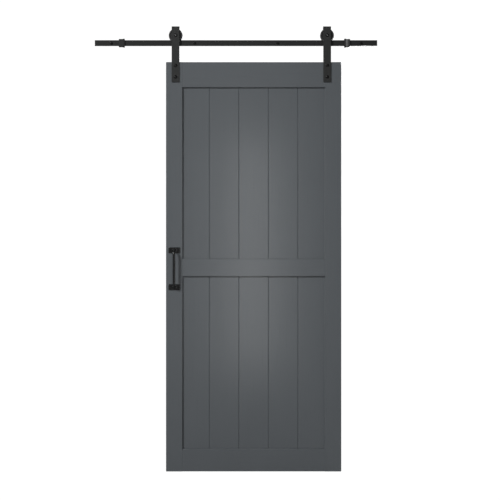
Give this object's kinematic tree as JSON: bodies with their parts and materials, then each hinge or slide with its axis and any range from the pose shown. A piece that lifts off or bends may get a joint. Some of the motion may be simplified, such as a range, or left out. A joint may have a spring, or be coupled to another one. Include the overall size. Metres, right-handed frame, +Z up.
{
  "type": "sliding barn door",
  "caption": "Framed and boarded door leaf hung by strap hangers with grooved rollers on a flat wall track, with end stops and a pull handle.",
  "frame": {"origin": "middle of the track's wall fixings, on the wall's surface", "axes": "+X along the track to the right as seen from the room, +Y into the wall, +Z up; the leaf's face looks towards -Y"},
  "size_m": [1.474, 0.147, 2.321],
  "materials": {
    "frame_paint": "satin charcoal paint, lightly rolled",
    "board_paint": "satin charcoal paint, lightly rolled",
    "dowel_wood": "bare turned hardwood",
    "black_powder_coat": "fine textured black powder coat",
    "black_fasteners": "black oxide, slightly glossy",
    "roller_black": "black, turned",
    "bearing_steel": "ground steel",
    "buffer_rubber": "matt rubber",
    "handle_black": "satin black coating over a casting"
  },
  "bodies": {
    "track": {"track_bar": "black_powder_coat", "wall_spacer_1": "black_powder_coat", "wall_spacer_2": "black_powder_coat", "wall_spacer_3": "black_powder_coat", "wall_spacer_4": "black_powder_coat", "lag_screw_1": "black_fasteners", "lag_screw_2": "black_fasteners", "lag_screw_3": "black_fasteners", "lag_screw_4": "black_fasteners", "stop_block_left": "black_powder_coat", "stop_buffer_left": "buffer_rubber", "stop_set_screw_left": "black_fasteners", "stop_block_right": "black_powder_coat", "stop_buffer_right": "buffer_rubber", "stop_set_screw_right": "black_fasteners"},
    "door": {"stile_left": "frame_paint", "stile_right": "frame_paint", "top_rail": "frame_paint", "middle_rail": "frame_paint", "bottom_rail": "frame_paint", "frame_dowels": "dowel_wood", "upper_board_1": "board_paint", "upper_board_2": "board_paint", "upper_board_3": "board_paint", "upper_board_4": "board_paint", "upper_board_5": "board_paint", "lower_board_1": "board_paint", "lower_board_2": "board_paint", "lower_board_3": "board_paint", "lower_board_4": "board_paint", "lower_board_5": "board_paint", "hanger_strap_left": "black_powder_coat", "axle_bolt_left": "black_fasteners", "axle_nut_left": "black_fasteners", "axle_bushes_left": "bearing_steel", "door_bolts_left": "black_fasteners", "barrel_nuts_left": "black_fasteners", "bearing_inner_ring_left": "bearing_steel", "hanger_strap_right": "black_powder_coat", "axle_bolt_right": "black_fasteners", "axle_nut_right": "black_fasteners", "axle_bushes_right": "bearing_steel", "door_bolts_right": "black_fasteners", "barrel_nuts_right": "black_fasteners", "bearing_inner_ring_right": "bearing_steel", "pull_handle": "handle_black", "handle_screws": "black_fasteners"},
    "roller_left": {"roller_left": "roller_black", "bearing_outer_ring_left": "bearing_steel", "bearing_balls_left": "bearing_steel"},
    "roller_right": {"roller_right": "roller_black", "bearing_outer_ring_right": "bearing_steel", "bearing_balls_right": "bearing_steel"}
  },
  "joints": [
    {"name": "door_slide", "type": "slide", "parent": "track", "child": "door", "axis": [1, 0, 0], "range_m": [-0.2336, 0.0576]},
    {"name": "roller_left_spin", "type": "hinge", "parent": "door", "child": "roller_left", "pos_m": [-0.31502, -0.034, 0.03915], "axis": [0, 1, 0], "range_deg": [-560, 140]},
    {"name": "roller_right_spin", "type": "hinge", "parent": "door", "child": "roller_right", "pos_m": [0.47498, -0.034, 0.03915], "axis": [0, 1, 0], "range_deg": [-560, 140]}
  ],
  "couplings": [
    {"joint": "roller_left_spin", "follows": "door_slide", "rad_per_m": 41.667},
    {"joint": "roller_right_spin", "follows": "door_slide", "rad_per_m": 41.667}
  ]
}
